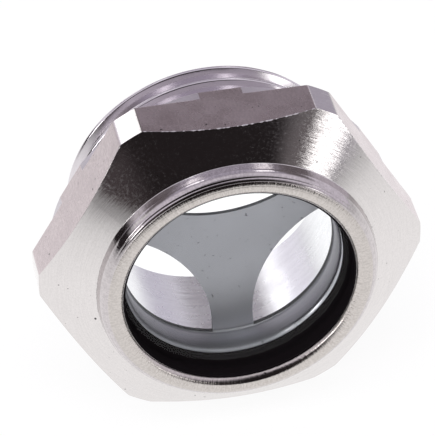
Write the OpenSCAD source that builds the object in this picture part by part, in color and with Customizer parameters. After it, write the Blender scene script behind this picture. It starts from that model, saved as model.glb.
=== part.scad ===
// Oil sight glass: a hexagon body turned from bar, with a threaded spigot behind and a rolled lip in front.
// The lip holds a glass disc in a channel-section rubber seal, and clamps a pressed reflector cup behind it.
// Frame: millimetres, +Z up, lying on a flat of the hexagon, window towards -Y, spigot towards +Y.
// The origin is on the thread axis, in the plane of the seat behind the hexagon.

/* [Hexagon] */
// Width across the flats
across_flats = 40; // [36:0.5:46]
// How far the hexagon's corners are turned down, measured on the radius
corner_cut = 0.8; // [0.3:0.1:1.6]
// Thickness from the hexagon's back face to its front edge in the middle of a flat
hex_t = 5.75; // [4:0.05:9]
// Slope of the turned front face
face_angle = 30; // [15:1:40]
// How far the seat collar is turned proud of the flats, measured on the radius
collar_proud = 0.15; // [0.05:0.05:0.5]
// Height of the seat collar behind the hexagon
collar_h = 1.2; // [0.6:0.1:2.5]

/* [Spigot] */
// Major diameter of the one-inch pipe thread
thread_d = 33.249; // [32:0.001:36]
// Length of the spigot behind the seat
spigot_l = 10; // [6:0.5:20]
// Chamfer at the end of the spigot
spigot_chamfer = 1; // [0.4:0.1:1.5]
// Diameter of the bore that the oil stands in
bore_d = 27.6; // [26:0.1:28.4]
// Edge break where the bore opens at the spigot's end
bore_chamfer = 0.3; // [0.1:0.05:0.5]

/* [Lip] */
// Height of the lip's crest above the foot of the front face
lip_rise = 2.35; // [1.8:0.05:4]
// Thickness of the lip from its crest to the seal
lip_t = 0.75; // [0.5:0.05:1.4]
// Thickness of the wall round the glass pocket
lip_wall = 1.25; // [0.8:0.05:2]
// Clear diameter inside the lip
window_d = 26.9; // [24:0.1:27.6]
// Radius of the rolled bead from its crest to the outer wall
lip_outer_r = 1.7; // [0.6:0.05:2.2]
// Radius of the rolled bead from its crest to the window
lip_inner_r = 1.1; // [0.7:0.05:1.6]

/* [Glass] */
// Diameter of the glass disc
glass_d = 28.4; // [28:0.1:30]
// Thickness of the glass disc
glass_t = 3.2; // [2:0.1:5]
// Bevel ground on the edges of the glass
glass_bevel = 0.25; // [0.1:0.05:0.4]

/* [Seal] */
// Thickness of the rubber between the glass edge and the pocket wall
seal_side = 0.8; // [0.5:0.05:1.2]
// Thickness of the rubber in front of the glass
seal_front = 1.45; // [0.6:0.05:2]
// Thickness of the rubber behind the glass
seal_back = 0.5; // [0.3:0.05:1]
// How far the front rubber stands inside the lip, measured on the radius
seal_show = 0.2; // [0.1:0.05:0.6]
// How far the back rubber covers the glass, measured on the radius
seal_back_cover = 1.6; // [1:0.05:2]

/* [Reflector] */
// Thickness of the reflector sheet
sheet_t = 0.5; // [0.3:0.05:0.8]
// Depth of the cup from the front of its flange to its floor
cup_depth = 3.3; // [2.2:0.1:5]
// Play between the cup's wall and the bore, on the radius
cup_play = 0.85; // [0.3:0.05:1.1]
// Play between the flange's edge and the pocket wall, on the radius
flange_play = 0.4; // [0.1:0.05:0.6]
// Inside radius of the two bends in the sheet
bend_r = 0.35; // [0.15:0.05:0.6]
// Number of windows punched in the floor
window_count = 3; // [3:1:4]
// Distance from the middle of the floor to a window
hub_r = 5.2; // [4:0.1:7]
// Radius of the arc on the inner side of a window
window_arc_r = 15.8; // [12:0.1:20]
// Width of floor left between the windows and the cup's wall
window_rim = 0.1; // [0.1:0.05:0.8]
// Turn of the windows about the axis
window_turn = 2.65; // [-60:0.05:60]

/* [Hidden] */
$fn = 128;
cut_over = 1;
arc_steps = 8;

flat_r = across_flats / 2;
corner_r = flat_r / cos(30) - corner_cut;
collar_r = flat_r + collar_proud;
thread_r = thread_d / 2;
bore_r = bore_d / 2;
window_r = window_d / 2;
glass_r = glass_d / 2;
pocket_r = glass_r + seal_side;
lip_r = pocket_r + lip_wall;

// The lip's bead: the inner round ends at the window, and neither round is larger than its wall lets it be
bead_in_r = max(lip_inner_r, lip_t);
bead_turn = acos(1 - lip_t / bead_in_r);
crest_r = window_r + bead_in_r * sin(bead_turn);
bead_out_r = min(lip_outer_r, lip_r - crest_r, lip_rise);

// Heights along the axis, counted from the seat towards the window
hex_back_z = collar_h;
flat_edge_z = hex_back_z + hex_t;
lip_foot_z = face_z(lip_r);
lip_top_z = lip_foot_z + lip_rise;
lip_under_z = lip_top_z - lip_t;
glass_front_z = lip_under_z - seal_front;
glass_back_z = glass_front_z - glass_t;
flange_front_z = glass_back_z - seal_back;
shoulder_z = flange_front_z - sheet_t;
floor_front_z = flange_front_z - cup_depth;
floor_back_z = floor_front_z - sheet_t;

// The cup's wall hangs in the bore with its play, and its flange lies on the shoulder of the pocket
cup_out_r = bore_r - cup_play;
cup_in_r = cup_out_r - sheet_t;
flange_r = pocket_r - flange_play;
bend_out_r = bend_r + sheet_t;

// Height of the sloping front face at a radius
function face_z(r) = flat_edge_z + (flat_r - r) * tan(face_angle);

// Points of an arc from one angle to another
function arc(centre, r, from, to) =
    [for (i = [0 : arc_steps]) let (a = from + (to - from) * i / arc_steps) centre + r * [cos(a), sin(a)]];

// Lays the axis down: the window faces -Y, the spigot +Y, and a flat of the hexagon is underneath
module lie_down() {
    rotate([90, 0, 0]) children();
}

// Bar between two heights along the axis with the hexagon's flats, corners left and right
module hex_bar(from, to) {
    translate([0, 0, from])
        linear_extrude(to - from)
            circle(r = flat_r / cos(30), $fn = 6);
}

// Turned outline of the head: collar, full-diameter back face, corners and sloping front face
module head_turning() {
    rotate_extrude()
        polygon([
            [0, 0], [collar_r, 0], [collar_r, hex_back_z], [corner_r, hex_back_z],
            [corner_r, face_z(corner_r)], [lip_r, lip_foot_z], [0, lip_foot_z]
        ]);
}

// Lip that is rolled inwards over the seal into a bead
module lip() {
    rotate_extrude()
        polygon(concat(
            [[pocket_r, lip_under_z], [pocket_r, flat_edge_z], [lip_r, flat_edge_z]],
            arc([lip_r - bead_out_r, lip_top_z - bead_out_r], bead_out_r, 0, 90),
            arc([crest_r, lip_top_z - bead_in_r], bead_in_r, 90, 90 + bead_turn)
        ));
}

// Plain spigot at the thread's major diameter, chamfered at its end
module spigot() {
    rotate_extrude()
        polygon([
            [0, collar_h], [thread_r, collar_h], [thread_r, spigot_chamfer - spigot_l],
            [thread_r - spigot_chamfer, -spigot_l], [0, -spigot_l]
        ]);
}

// Space inside the body: bore, edge break at its mouth, and the pocket for glass, seal and flange
module hollow() {
    rotate_extrude()
        polygon([
            [0, -spigot_l - cut_over], [bore_r + bore_chamfer + cut_over, -spigot_l - cut_over],
            [bore_r, bore_chamfer - spigot_l], [bore_r, shoulder_z],
            [pocket_r, shoulder_z], [pocket_r, lip_under_z], [0, lip_under_z]
        ]);
}

module body() {
    color("silver")
        lie_down() {
            difference() {
                union() {
                    intersection() {
                        head_turning();
                        hex_bar(0, lip_top_z);
                    }
                    spigot();
                }
                hollow();
            }
            lip();
        }
}

module seal() {
    color("#191919")
        lie_down()
            rotate_extrude()
                polygon([
                    [glass_r - seal_back_cover, flange_front_z], [pocket_r, flange_front_z],
                    [pocket_r, lip_under_z], [window_r - seal_show, lip_under_z],
                    [window_r - seal_show, glass_front_z], [glass_r, glass_front_z],
                    [glass_r, glass_back_z], [glass_r - seal_back_cover, glass_back_z]
                ]);
}

module glass() {
    color("azure", 0.4)
        lie_down()
            rotate_extrude()
                polygon([
                    [0, glass_back_z], [glass_r - glass_bevel, glass_back_z], [glass_r, glass_back_z + glass_bevel],
                    [glass_r, glass_front_z - glass_bevel], [glass_r - glass_bevel, glass_front_z],
                    [0, glass_front_z]
                ]);
}

// Drawn cup: floor, bend, wall, bend and flange in one thickness of sheet
module cup() {
    rotate_extrude()
        polygon(concat(
            [[0, floor_back_z]],
            arc([cup_in_r - bend_r, floor_front_z + bend_r], bend_out_r, -90, 0),
            arc([cup_out_r + bend_r, shoulder_z - bend_r], bend_r, 180, 90),
            [[flange_r, shoulder_z], [flange_r, flange_front_z]],
            arc([cup_out_r + bend_r, shoulder_z - bend_r], bend_out_r, 90, 180),
            arc([cup_in_r - bend_r, floor_front_z + bend_r], bend_r, 0, -90),
            [[0, floor_front_z]]
        ));
}

// One lens-shaped window: an arc towards the hub, and the line of the cup's wall outside
module window_punch() {
    intersection() {
        translate([0, 0, floor_back_z - cut_over])
            cylinder(r = cup_in_r - window_rim, h = sheet_t + cut_over + bend_r);
        translate([hub_r + window_arc_r, 0, floor_back_z - 2 * cut_over])
            cylinder(r = window_arc_r, h = sheet_t + 4 * cut_over + bend_r);
    }
}

module reflector() {
    color("#a6a8ab")
        lie_down()
            difference() {
                cup();
                for (i = [0 : window_count - 1])
                    rotate(90 + window_turn + i * 360 / window_count) window_punch();
            }
}

body();
seal();
glass();
reflector();
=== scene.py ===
"""Looks of an oil sight glass: nickel-plated hexagon body, glass, rubber seal and pressed reflector.

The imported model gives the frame: metres, +Z up, thread axis along Y, window towards -Y, origin in the
plane of the seat behind the hexagon. Sizes below are millimetres unless a name says otherwise, and a
height is counted along the axis from the seat towards the window.
"""
import logging
import math
from dataclasses import dataclass, field
from enum import Enum
from typing import Sequence

import bmesh
import bpy
import numpy as np
from mathutils import Matrix, Vector


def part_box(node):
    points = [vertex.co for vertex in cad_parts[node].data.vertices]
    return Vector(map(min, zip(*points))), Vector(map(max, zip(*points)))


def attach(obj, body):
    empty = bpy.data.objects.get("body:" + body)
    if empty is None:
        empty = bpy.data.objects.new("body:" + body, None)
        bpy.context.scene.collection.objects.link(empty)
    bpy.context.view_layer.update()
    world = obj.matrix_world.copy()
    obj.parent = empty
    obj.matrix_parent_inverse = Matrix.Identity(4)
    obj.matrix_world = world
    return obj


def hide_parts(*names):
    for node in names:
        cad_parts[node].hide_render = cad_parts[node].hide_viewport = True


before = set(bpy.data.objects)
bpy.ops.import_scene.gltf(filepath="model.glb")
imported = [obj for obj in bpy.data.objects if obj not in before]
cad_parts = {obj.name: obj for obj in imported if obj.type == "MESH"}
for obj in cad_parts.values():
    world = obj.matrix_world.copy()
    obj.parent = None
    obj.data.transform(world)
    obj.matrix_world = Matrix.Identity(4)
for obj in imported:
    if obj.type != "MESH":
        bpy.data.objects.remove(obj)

LOG = logging.getLogger("sight_glass")
MM = 0.001
BODY = "root"
FILLET_REACH = 0.45  # Most of a side that the round of a corner may take
WELD_M = 2e-7
SLIVER_M = 1e-7

Array = np.ndarray
Colour = tuple[float, float, float, float]
Span = tuple[float, float]


class Finish(Enum):
    """How a stretch of the body's skin was made, and the slot of its material."""

    FACE = 0
    FLAT = 1
    LIP = 2
    BORE = 3
    THREAD = 4
    SEAT = 5
    BEAD = 6


class Marks(Enum):
    """Direction of the tool marks left in a metal skin."""

    ROUND = "round the axis"
    ALONG = "along the axis"


# Surfaces: points on a grid, welded into a mesh


@dataclass
class Corner:
    """One corner of a section that is carried round the axis.

    Args:
        r: Radius, one value or one for each angle.
        a: Height, one value or one for each angle.
        fillet: Radius that rounds the corner, one value or one for each angle, 0 for a sharp one.
        steps: Number of straight steps in that round.
        finish: Finish of the stretch that starts here.
    """

    r: Array | float
    a: Array | float
    fillet: Array | float = 0.0
    steps: int = 5
    finish: Finish = Finish.FACE


def arc(
    r: float, a: float, radius: float, start: float, end: float, steps: int, finish: Finish = Finish.FACE
) -> list[Corner]:
    """Corners on a circular arc of a section.

    Args:
        r: Radius at which the arc's centre lies.
        a: Height of the centre.
        radius: Radius of the arc.
        start: Angle at which it starts, in degrees from the outward direction towards the window.
        end: Angle at which it ends.
        steps: Number of straight steps.
        finish: Finish of the arc and of the stretch after it.

    Returns:
        The corners, first to last.
    """
    angles = np.radians(np.linspace(start, end, steps + 1))
    return [Corner(r + radius * math.cos(t), a + radius * math.sin(t), finish=finish) for t in angles]


def rounded_section(corners: Sequence[Corner], columns: int, closed: bool) -> tuple[Array, Array, Array]:
    """Rounds the corners of a section, at every angle at once.

    Each corner P with unit directions d1 in and d2 out becomes a circular arc from P - t d1 to P + t d2,
    where t is the fillet radius times the tangent of half the turn, held to a share of the shorter side.
    The arc is a rational quadratic with middle weight cos(half the turn).

    Args:
        corners: Corners in order along the section.
        columns: Number of angles.
        closed: Whether the last corner joins the first.

    Returns:
        Radii and heights, each of rows by columns, and the finish that starts at each row.
    """
    points = np.stack([
        np.stack([np.broadcast_to(np.asarray(v, float), columns) for v in (c.r, c.a)], -1) for c in corners
    ])
    rows: list[Array] = []
    finishes: list[int] = []
    last = len(corners) - 1
    for i, corner in enumerate(corners):
        here = points[i]
        if np.max(corner.fillet) <= 0 or (not closed and i in (0, last)):
            rows.append(here)
            finishes.append(corner.finish.value)
            continue
        before = here - points[i - 1]
        after = points[(i + 1) % len(corners)] - here
        len_in = np.linalg.norm(before, axis=-1, keepdims=True)
        len_out = np.linalg.norm(after, axis=-1, keepdims=True)
        d_in = before / np.maximum(len_in, 1e-9)
        d_out = after / np.maximum(len_out, 1e-9)
        half_turn = np.arccos(np.clip((d_in * d_out).sum(-1, keepdims=True), -1, 1)) / 2
        radius = np.broadcast_to(np.asarray(corner.fillet, float), columns)[:, None]
        reach = np.minimum(radius * np.tan(half_turn), FILLET_REACH * np.minimum(len_in, len_out))
        start, end, weight = here - reach * d_in, here + reach * d_out, np.cos(half_turn)
        for s in np.linspace(0, 1, corner.steps + 1):
            share = (1 - s) ** 2, 2 * s * (1 - s) * weight, s * s
            rows.append((share[0] * start + share[1] * here + share[2] * end) / sum(share))
            finishes.append(corner.finish.value if s == 1 else corners[i - 1].finish.value)
    if closed:
        rows.append(rows[0])
        finishes.append(finishes[0])
    grid = np.stack(rows)
    return grid[..., 0], grid[..., 1], np.array(finishes)


def carried_round(r: Array, a: Array, theta: Array) -> Array:
    """Carries a section round the thread axis: (r cos t, -a, r sin t).

    Args:
        r: Radii, rows by columns.
        a: Heights, rows by columns.
        theta: Angle of each column, from +X towards +Z.

    Returns:
        Points in millimetres, n by 3, row after row.
    """
    return np.stack([r * np.cos(theta), -a, r * np.sin(theta)], -1).reshape(-1, 3)


def quads_of(rows: int, columns: int, keep: Array | None = None, first: int = 0) -> Array:
    """Corner indices of the cells of a grid, four to a cell, in the order that faces outwards.

    Args:
        rows: Number of rows.
        columns: Number of columns.
        keep: Cells to keep, rows - 1 by columns - 1, or None for all.
        first: Index of the grid's first point.

    Returns:
        Indices, cells by 4.
    """
    index = first + np.arange(rows * columns).reshape(rows, columns)
    cells = np.stack([index[:-1, :-1], index[1:, :-1], index[1:, 1:], index[:-1, 1:]], -1)
    return cells.reshape(-1, 4) if keep is None else cells[keep]


def welded_mesh(name: str, points: Array, quads: Array, slots: Array | None = None) -> bpy.types.Object:
    """Puts points and cells into a mesh, welds its seams and poles, and links it as an object at the origin.

    Args:
        name: Name of the piece.
        points: Points in millimetres, n by 3.
        quads: Indices of the cells, m by 4.
        slots: Material slot of each cell, or None for slot 0.

    Returns:
        The new object.
    """
    mesh = bpy.data.meshes.new(name)
    mesh.vertices.add(len(points))
    mesh.vertices.foreach_set("co", (points * MM).astype(np.float32).ravel())
    mesh.loops.add(quads.size)
    mesh.loops.foreach_set("vertex_index", quads.astype(np.int32).ravel())
    mesh.polygons.add(len(quads))
    mesh.polygons.foreach_set("loop_start", np.arange(0, quads.size, 4, dtype=np.int32))
    if slots is not None:
        mesh.polygons.foreach_set("material_index", slots.astype(np.int32))
    mesh.update(calc_edges=True)
    work = bmesh.new()
    work.from_mesh(mesh)
    bmesh.ops.remove_doubles(work, verts=work.verts, dist=WELD_M)
    bmesh.ops.dissolve_degenerate(work, edges=work.edges, dist=SLIVER_M)
    work.to_mesh(mesh)
    work.free()
    mesh.polygons.foreach_set("use_smooth", np.ones(len(mesh.polygons), dtype=bool))
    piece = bpy.data.objects.new(name, mesh)
    bpy.context.scene.collection.objects.link(piece)
    return piece


def large_faces_rule(piece: bpy.types.Object) -> None:
    """Sets each point's normal to the sum of its faces' normals times their areas.

    Wide faces then stay flat up to the narrow rounds between them, as on a machined edge.

    Args:
        piece: Object whose mesh gets the normals.
    """
    mesh = piece.data
    count = len(mesh.polygons)
    normal = np.zeros(count * 3, np.float32)
    area = np.zeros(count, np.float32)
    total = np.zeros(count, np.int32)
    corner = np.zeros(len(mesh.loops), np.int32)
    mesh.polygons.foreach_get("normal", normal)
    mesh.polygons.foreach_get("area", area)
    mesh.polygons.foreach_get("loop_total", total)
    mesh.loops.foreach_get("vertex_index", corner)
    weighted = np.repeat(normal.reshape(-1, 3) * area[:, None], total, axis=0)
    points = len(mesh.vertices)
    summed = np.stack([np.bincount(corner, weights=w, minlength=points) for w in weighted.T], -1)
    summed /= np.maximum(np.linalg.norm(summed, axis=1, keepdims=True), 1e-20)
    mesh.normals_split_custom_set_from_vertices(summed)


def even_angles(step_deg: float, extra: Sequence[float] = ()) -> Array:
    """Angles of a full turn in even steps, with some more put in.

    Args:
        step_deg: Step in degrees.
        extra: Further angles in degrees, taken into the turn.

    Returns:
        Sorted angles in radians, from 0 to a full turn.
    """
    degrees = np.concatenate([np.arange(0, 360, step_deg), np.mod(np.asarray(extra, float), 360)])
    degrees = np.unique(np.round(degrees, 5))
    return np.radians(np.append(degrees, 360.0))


# Materials: nodes on Object coordinates


def linear(code: str, share: float = 1.0) -> Colour:
    """Linear colour of an sRGB hex code.

    Args:
        code: Colour as "#RRGGBB".
        share: Share of its light that is kept.

    Returns:
        Red, green and blue, and alpha 1.
    """
    parts = [int(code[i:i + 2], 16) / 255 for i in (1, 3, 5)]
    r, g, b = [share * (v / 12.92 if v <= 0.04045 else ((v + 0.055) / 1.055) ** 2.4) for v in parts]
    return r, g, b, 1.0


def node(
    tree: bpy.types.NodeTree, kind: str, links: dict | None = None, **settings: object
) -> bpy.types.Node:
    """Adds a node with its settings and links.

    Some inputs go by number. A Math or VectorMath node has its terms at 0 and 1. A MapRange has its value
    at 0, its range at 1 and 2, and the range that it is mapped to at 3 and 4. A Mix has its share at 0 and
    its colours at 6 and 7, and gives the mixed colour at output 2.

    Args:
        tree: Node tree.
        kind: Node type's name after "ShaderNode".
        links: Input name or number to what feeds it: a node by its first output, an output, or a value.
        settings: Attributes of the node.

    Returns:
        The new node.
    """
    made = tree.nodes.new("ShaderNode" + kind)
    for name, value in settings.items():
        setattr(made, name, value)
    for name, value in (links or {}).items():
        if isinstance(value, bpy.types.Node):
            value = value.outputs[0]
        if isinstance(value, bpy.types.NodeSocket):
            tree.links.new(value, made.inputs[name])
        else:
            made.inputs[name].default_value = value
    return made


def new_material(name: str) -> tuple[bpy.types.Material, bpy.types.NodeTree]:
    """An empty node material.

    Args:
        name: Name of the material.

    Returns:
        The material and its node tree.
    """
    material = bpy.data.materials.new(name)
    material.use_nodes = True
    material.node_tree.nodes.clear()
    return material, material.node_tree


@dataclass(frozen=True)
class AxisPlace:
    """Where a point of a piece lies about the thread axis, as outputs of nodes, in metres.

    Args:
        at: Object coordinates.
        axes: Their X, Y and Z.
        across: Their part across the axis.
        radius: Length of that part.
    """

    at: bpy.types.NodeSocket
    axes: bpy.types.bpy_prop_collection
    across: bpy.types.NodeSocket
    radius: bpy.types.NodeSocket

    @classmethod
    def added_to(cls, tree: bpy.types.NodeTree) -> "AxisPlace":
        """Adds the nodes that work the place out.

        Args:
            tree: Node tree of a material.

        Returns:
            Their outputs.
        """
        at = node(tree, "TexCoord").outputs["Object"]
        axes = node(tree, "SeparateXYZ", {0: at}).outputs
        across = node(tree, "CombineXYZ", {"X": axes["X"], "Z": axes["Z"]}).outputs[0]
        radius = node(tree, "VectorMath", {0: across}, operation="LENGTH").outputs["Value"]
        return cls(at, axes, across, radius)


@dataclass(frozen=True)
class NickelPlate:
    """Bright nickel plate on brass: a slightly warm mirror that shows every mark the tool left under it.

    The real marks are a few hundredths of a millimetre apart, too fine for the picture, so they are drawn
    coarser, as wide as they need to be to show. So are the grain, the dull spots and the nicks.

    Args:
        name: Material name.
        colour: Reflected colour, sRGB hex.
        roughness: Microscopic roughness.
        marks: Direction of the tool marks.
        across_mm: Spacing of the marks along the section, or across the drawing direction.
        along_mm: Length of a mark round the axis, or along the drawing direction.
        mark_um: Height of the marks in micrometres.
        anisotropy: How much the marks draw highlights out across them.
        grain: Share of light that the dull grain takes away.
        nicks: How many small dark nicks there are, 0 for none.
        haze: Roughness that dull spots add.
        left_share: Height of the marks on the left side, as a share of that on the right.
        side_mm: How far from the middle the marks have the height of their side.
        reference_r: Radius at which the way round the axis is counted.
        cloud_mm: Size of the clouds in the roughness.
        cloud_noise: Noise at which a cloud starts and is full.
        cloud_share: How much the roughness changes in a cloud.
        haze_mm: Size of the dull spots.
        haze_noise: Noise at which a dull spot starts and is full.
        grain_mm: Size of the dull grain.
        grain_noise: Noise of grain and marks together at which the dull grain starts and is full.
        nick_mm: Size of the noise whose peaks are nicks.
        nick_noise: Noise at which a nick starts and is full, less the number of nicks.
        nick_share: Share of light that a nick reflects.
    """

    name: str
    colour: str
    roughness: float
    marks: Marks
    across_mm: float
    along_mm: float
    mark_um: float
    anisotropy: float = 0.0
    grain: float = 0.04
    nicks: float = 0.0
    haze: float = 0.0
    left_share: float = 1.0
    side_mm: float = 8.0
    reference_r: float = 16.0
    cloud_mm: float = 3.0
    cloud_noise: Span = (0.3, 0.7)
    cloud_share: float = 0.15
    haze_mm: float = 0.30
    haze_noise: Span = (0.42, 0.76)
    grain_mm: float = 0.22
    grain_noise: Span = (0.8, 1.2)
    nick_mm: float = 0.6
    nick_noise: Span = (0.78, 0.81)
    nick_share: float = 0.12

    def build(self) -> bpy.types.Material:
        """Makes the material: marks as bump, clouds and spots of roughness, dull grain and dark nicks.

        Returns:
            The material.
        """
        material, tree = new_material(self.name)
        place = AxisPlace.added_to(tree)
        at = place.at
        lines = node(tree, "TexNoise", {"Vector": self._mark_place(tree, place), "Scale": 1.0,
                                        "Detail": 2.0, "Roughness": 0.6})
        right, side = self.mark_um * MM * MM, self.side_mm * MM
        left = right * self.left_share
        high = node(tree, "MapRange", {0: place.axes["X"], 1: -side, 2: side, 3: left, 4: right})
        bump = node(tree, "Bump", {"Height": lines, "Strength": 1.0, "Distance": high})
        cloud = node(tree, "TexNoise", {"Vector": at, "Scale": 1 / (self.cloud_mm * MM), "Detail": 3.0})
        low, top = self.roughness * (1 - self.cloud_share), self.roughness * (1 + self.cloud_share)
        start, full = self.cloud_noise
        even = node(tree, "MapRange", {0: cloud, 1: start, 2: full, 3: low, 4: top})
        dust = node(tree, "TexNoise", {"Vector": at, "Scale": 1 / (self.haze_mm * MM), "Detail": 3.0})
        start, full = self.haze_noise
        hazy = node(tree, "MapRange", {0: dust, 1: start, 2: full, 3: 0.0, 4: self.haze})
        rough = node(tree, "Math", {0: even, 1: hazy}, operation="ADD")
        slope = node(tree, "CombineXYZ", {"X": place.axes["X"], "Y": place.radius, "Z": place.axes["Z"]})
        shader = node(tree, "BsdfPrincipled", {"Base Color": self._shade(tree, at, lines), "Metallic": 1.0,
                                               "Roughness": rough, "Normal": bump,
                                               "Anisotropic": self.anisotropy, "Tangent": slope})
        node(tree, "OutputMaterial", {"Surface": shader})
        return material

    def _mark_place(self, tree: bpy.types.NodeTree, place: AxisPlace) -> bpy.types.Node:
        """Place in the noise that draws the marks, one unit to a mark.

        Turned marks count the way along the section, radius plus Y, and the way round at a mean radius.
        Drawn marks count each axis of the part by itself.

        Args:
            tree: Node tree of the material.
            place: Place about the thread axis.

        Returns:
            The node whose first output is the place.
        """
        across, along = 1 / (self.across_mm * MM), 1 / (self.along_mm * MM)
        if self.marks is Marks.ALONG:
            return node(tree, "VectorMath", {0: place.at, 1: (across, along, across)}, operation="MULTIPLY")
        way = node(tree, "Math", {0: place.radius, 1: place.axes["Y"]}, operation="ADD")
        row = node(tree, "Math", {0: way, 1: across}, operation="MULTIPLY")
        lift = node(tree, "CombineXYZ", {"Y": row})
        side = node(tree, "VectorMath", {0: place.across}, operation="NORMALIZE")
        per_turn = self.reference_r / self.along_mm
        turn = node(tree, "VectorMath", {0: side, "Scale": per_turn}, operation="SCALE")
        return node(tree, "VectorMath", {0: turn, 1: lift}, operation="ADD")

    def _shade(
        self, tree: bpy.types.NodeTree, at: bpy.types.NodeSocket, lines: bpy.types.Node
    ) -> bpy.types.NodeSocket:
        """Reflected colour: darker in the marks and in the dull grain, much darker in the nicks.

        Args:
            tree: Node tree of the material.
            at: Object coordinates.
            lines: Noise that draws the marks.

        Returns:
            The colour.
        """
        clean, dull = linear(self.colour), linear(self.colour, 1 - self.grain)
        fine = node(tree, "TexNoise", {"Vector": at, "Scale": 1 / (self.grain_mm * MM), "Detail": 2.0})
        both = node(tree, "Math", {0: fine, 1: lines}, operation="ADD")
        start, full = self.grain_noise
        dulled = node(tree, "MapRange", {0: both, 1: start, 2: full})
        shade = node(tree, "Mix", {0: dulled, 6: clean, 7: dull}, data_type="RGBA").outputs[2]
        if self.nicks <= 0:
            return shade
        pits = node(tree, "TexNoise", {"Vector": at, "Scale": 1 / (self.nick_mm * MM), "Detail": 2.0})
        start, full = (v - self.nicks for v in self.nick_noise)
        nick = node(tree, "MapRange", {0: pits, 1: start, 2: full})
        dark = linear(self.colour, self.nick_share)
        return node(tree, "Mix", {0: nick, 6: shade, 7: dark}, data_type="RGBA").outputs[2]


PLATING = {
    Finish.FACE: NickelPlate("nickel_plate_turned", "#D9D5D4", 0.07, Marks.ROUND, 0.16, 3.2, 13.0,
                             anisotropy=0.3, grain=0.07, nicks=0.04, haze=0.17, left_share=0.4),
    Finish.FLAT: NickelPlate("nickel_plate_drawn", "#D4C8CA", 0.27, Marks.ALONG, 0.25, 0.8, 7.0,
                             grain=0.14, nicks=0.045),
    Finish.LIP: NickelPlate("nickel_plate_rolled_lip", "#C8C2BE", 0.12, Marks.ROUND, 0.9, 0.17, 40.0,
                            grain=0.16, nicks=0.02),
    # The bore's colour is paler than the nickel's own: painted light that brightens the bore seen through
    # the windows.
    Finish.BORE: NickelPlate("nickel_plate_bored", "#FAFAFC", 0.28, Marks.ROUND, 0.40, 7.0, 16.0,
                             anisotropy=0.3, grain=0.08),
    Finish.THREAD: NickelPlate("nickel_plate_thread", "#DCD7DB", 0.16, Marks.ROUND, 0.30, 5.0, 2.0),
    Finish.SEAT: NickelPlate("nickel_plate_seat", "#D4CFD4", 0.42, Marks.ROUND, 0.30, 6.0, 3.0),
    Finish.BEAD: NickelPlate("nickel_plate_burnished", "#C9C3C4", 0.10, Marks.ROUND, 1.2, 0.40, 8.0,
                             grain=0.16),
}


@dataclass(frozen=True)
class NitrileRubber:
    """Moulded black nitrile rubber: nearly no colour, no mirror shine and a fine matt grain.

    Args:
        name: Material name.
        colour: Colour, sRGB hex.
        roughness: Mean roughness.
        spread: How much the roughness changes in the grain.
        grain_mm: Size of the grain, drawn coarser than the mould's to show.
        grain_um: Height of the grain in micrometres.
    """

    name: str = "nitrile_rubber_moulded"
    colour: str = "#171416"
    roughness: float = 0.6
    spread: float = 0.08
    grain_mm: float = 0.25
    grain_um: float = 2.0

    def build(self) -> bpy.types.Material:
        """Makes the material: grain as bump and as roughness.

        Returns:
            The material.
        """
        material, tree = new_material(self.name)
        at = node(tree, "TexCoord").outputs["Object"]
        grain = node(tree, "TexNoise", {"Vector": at, "Scale": 1 / (self.grain_mm * MM), "Detail": 3.0})
        bump = node(tree, "Bump", {"Height": grain, "Strength": 0.1, "Distance": self.grain_um * MM * MM})
        low, top = self.roughness - self.spread, self.roughness + self.spread
        rough = node(tree, "MapRange", {0: grain, 3: low, 4: top})
        shader = node(tree, "BsdfPrincipled", {"Base Color": linear(self.colour), "Roughness": rough,
                                               "IOR": 1.5, "Specular IOR Level": 0.0, "Normal": bump})
        node(tree, "OutputMaterial", {"Surface": shader})
        return material


@dataclass(frozen=True)
class WindowGlass:
    """Polished and coated soda-lime glass: clear, with hardly a reflection.

    Args:
        name: Material name.
        colour: Colour of the light that passes, sRGB hex.
        ior: Refractive index.
        shine: Tint that the coating leaves of the reflection, sRGB hex.
    """

    name: str = "soda_lime_glass_polished"
    colour: str = "#FBFCFC"
    ior: float = 1.52
    shine: str = "#505050"

    def build(self) -> bpy.types.Material:
        """Makes the material: refraction to the eye, and a straight way for light that falls through.

        Returns:
            The material.
        """
        material, tree = new_material(self.name)
        path = node(tree, "LightPath").outputs
        passing = node(tree, "Math", {0: path["Is Shadow Ray"], 1: path["Is Diffuse Ray"]},
                       operation="MAXIMUM")
        shader = node(tree, "BsdfPrincipled", {"Base Color": linear(self.colour), "Roughness": 0.0,
                                               "IOR": self.ior, "Transmission Weight": 1.0,
                                               "Specular Tint": linear(self.shine)})
        through = node(tree, "BsdfTransparent", {"Color": linear(self.colour)})
        both = node(tree, "MixShader", {0: passing, 1: shader, 2: through})
        node(tree, "OutputMaterial", {"Surface": both})
        return material


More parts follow.
